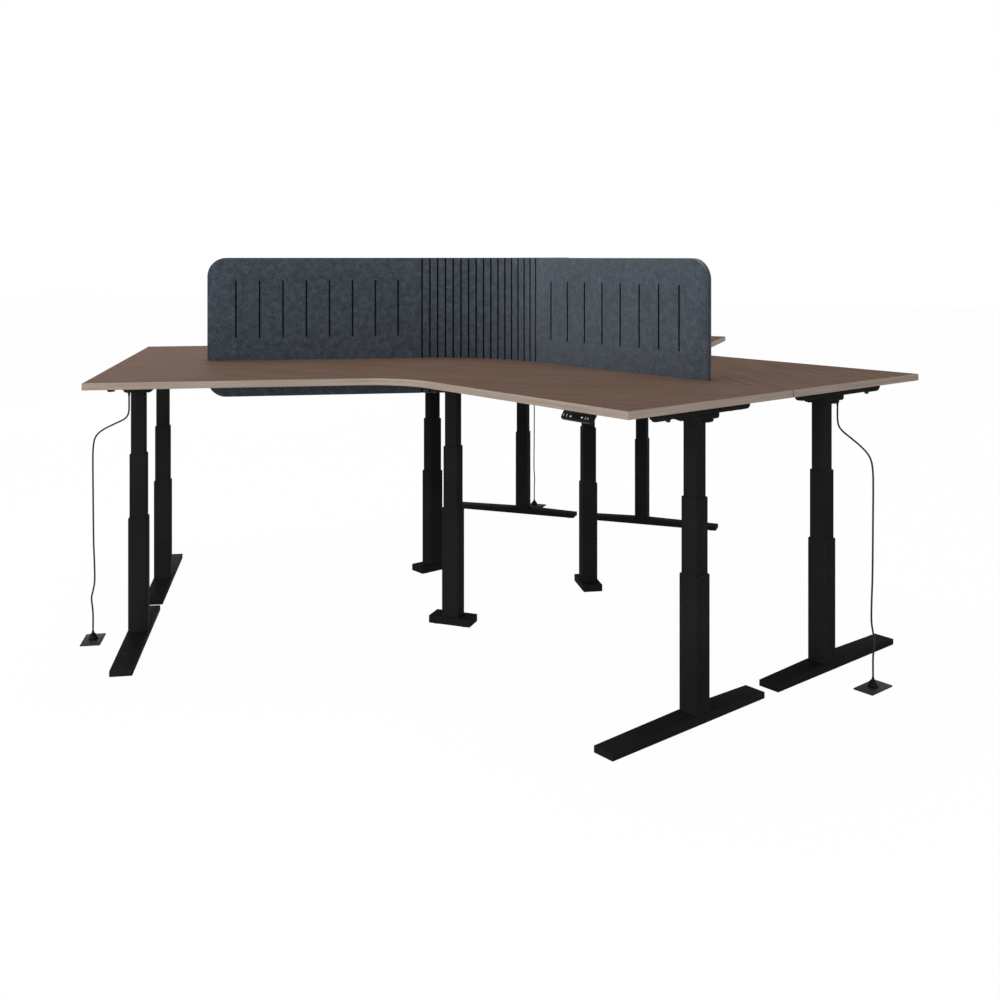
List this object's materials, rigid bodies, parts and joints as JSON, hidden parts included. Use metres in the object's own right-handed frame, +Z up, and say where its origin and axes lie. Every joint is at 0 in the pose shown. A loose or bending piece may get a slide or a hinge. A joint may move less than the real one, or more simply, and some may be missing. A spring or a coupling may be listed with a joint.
{
  "type": "height-adjustable desk",
  "caption": "Hub of electric sit-stand desks with boomerang worktops, bent felt screens and telescopic lifting columns on flat feet; each desk rises and lowers on its own.",
  "frame": {"origin": "on the floor, below the middle of the box round the worktops; the hub where the desks meet is 54 mm behind it in -Y", "axes": "+Z up; +X along the longest side of the hub; -Y towards the user of desk1, the desk in front in the picture"},
  "size_m": [3.5712, 3.1953, 1.498],
  "materials": {
    "laminate": "satin",
    "felt": "matte",
    "black_steel": "matte",
    "black_plastic": "satin",
    "grey_plastic": "matte",
    "cord": "satin"
  },
  "bodies": {
    "base": {"desk1_left_foot": "black_steel", "desk1_right_foot": "black_steel", "desk1_corner_foot": "black_steel", "desk1_left_lower_tube": "black_steel", "desk1_right_lower_tube": "black_steel", "desk1_corner_lower_tube": "black_steel", "desk1_power_cord": "cord", "desk1_plug": "black_plastic", "desk1_floor_plate": "grey_plastic", "desk2_left_foot": "black_steel", "desk2_right_foot": "black_steel", "desk2_corner_foot": "black_steel", "desk2_left_lower_tube": "black_steel", "desk2_right_lower_tube": "black_steel", "desk2_corner_lower_tube": "black_steel", "desk2_power_cord": "cord", "desk2_plug": "black_plastic", "desk2_floor_plate": "grey_plastic", "desk3_left_foot": "black_steel", "desk3_right_foot": "black_steel", "desk3_corner_foot": "black_steel", "desk3_left_lower_tube": "black_steel", "desk3_right_lower_tube": "black_steel", "desk3_corner_lower_tube": "black_steel", "desk3_power_cord": "cord", "desk3_plug": "black_plastic", "desk3_floor_plate": "grey_plastic"},
    "desk1_middle_stage": {"desk1_left_middle_tube": "black_steel", "desk1_right_middle_tube": "black_steel", "desk1_corner_middle_tube": "black_steel"},
    "desk1_top": {"desk1_left_upper_tube": "black_steel", "desk1_right_upper_tube": "black_steel", "desk1_corner_upper_tube": "black_steel", "desk1_steel_frame": "black_steel", "desk1_worktop": "laminate", "desk1_screen": "felt", "desk1_handset": "black_plastic", "desk1_control_box": "black_plastic"},
    "desk2_middle_stage": {"desk2_left_middle_tube": "black_steel", "desk2_right_middle_tube": "black_steel", "desk2_corner_middle_tube": "black_steel"},
    "desk2_top": {"desk2_left_upper_tube": "black_steel", "desk2_right_upper_tube": "black_steel", "desk2_corner_upper_tube": "black_steel", "desk2_steel_frame": "black_steel", "desk2_worktop": "laminate", "desk2_screen": "felt", "desk2_handset": "black_plastic", "desk2_control_box": "black_plastic"},
    "desk3_middle_stage": {"desk3_left_middle_tube": "black_steel", "desk3_right_middle_tube": "black_steel", "desk3_corner_middle_tube": "black_steel"},
    "desk3_top": {"desk3_left_upper_tube": "black_steel", "desk3_right_upper_tube": "black_steel", "desk3_corner_upper_tube": "black_steel", "desk3_steel_frame": "black_steel", "desk3_worktop": "laminate", "desk3_screen": "felt", "desk3_handset": "black_plastic", "desk3_control_box": "black_plastic"}
  },
  "joints": [
    {"name": "desk1_lift", "type": "slide", "parent": "base", "child": "desk1_top", "axis": [0, 0, 1], "range_m": [-0.435, 0.215], "deforming": ["desk1_power_cord"]},
    {"name": "desk1_middle_slide", "type": "slide", "parent": "base", "child": "desk1_middle_stage", "axis": [0, 0, 1], "range_m": [-0.2175, 0.1075]},
    {"name": "desk2_lift", "type": "slide", "parent": "base", "child": "desk2_top", "axis": [0, 0, 1], "range_m": [-0.435, 0.215], "deforming": ["desk2_power_cord"]},
    {"name": "desk2_middle_slide", "type": "slide", "parent": "base", "child": "desk2_middle_stage", "axis": [0, 0, 1], "range_m": [-0.2175, 0.1075]},
    {"name": "desk3_lift", "type": "slide", "parent": "base", "child": "desk3_top", "axis": [0, 0, 1], "range_m": [-0.435, 0.215], "deforming": ["desk3_power_cord"]},
    {"name": "desk3_middle_slide", "type": "slide", "parent": "base", "child": "desk3_middle_stage", "axis": [0, 0, 1], "range_m": [-0.2175, 0.1075]}
  ],
  "couplings": [
    {"joint": "desk1_middle_slide", "follows": "desk1_lift", "ratio": 0.5},
    {"joint": "desk2_middle_slide", "follows": "desk2_lift", "ratio": 0.5},
    {"joint": "desk3_middle_slide", "follows": "desk3_lift", "ratio": 0.5}
  ]
}
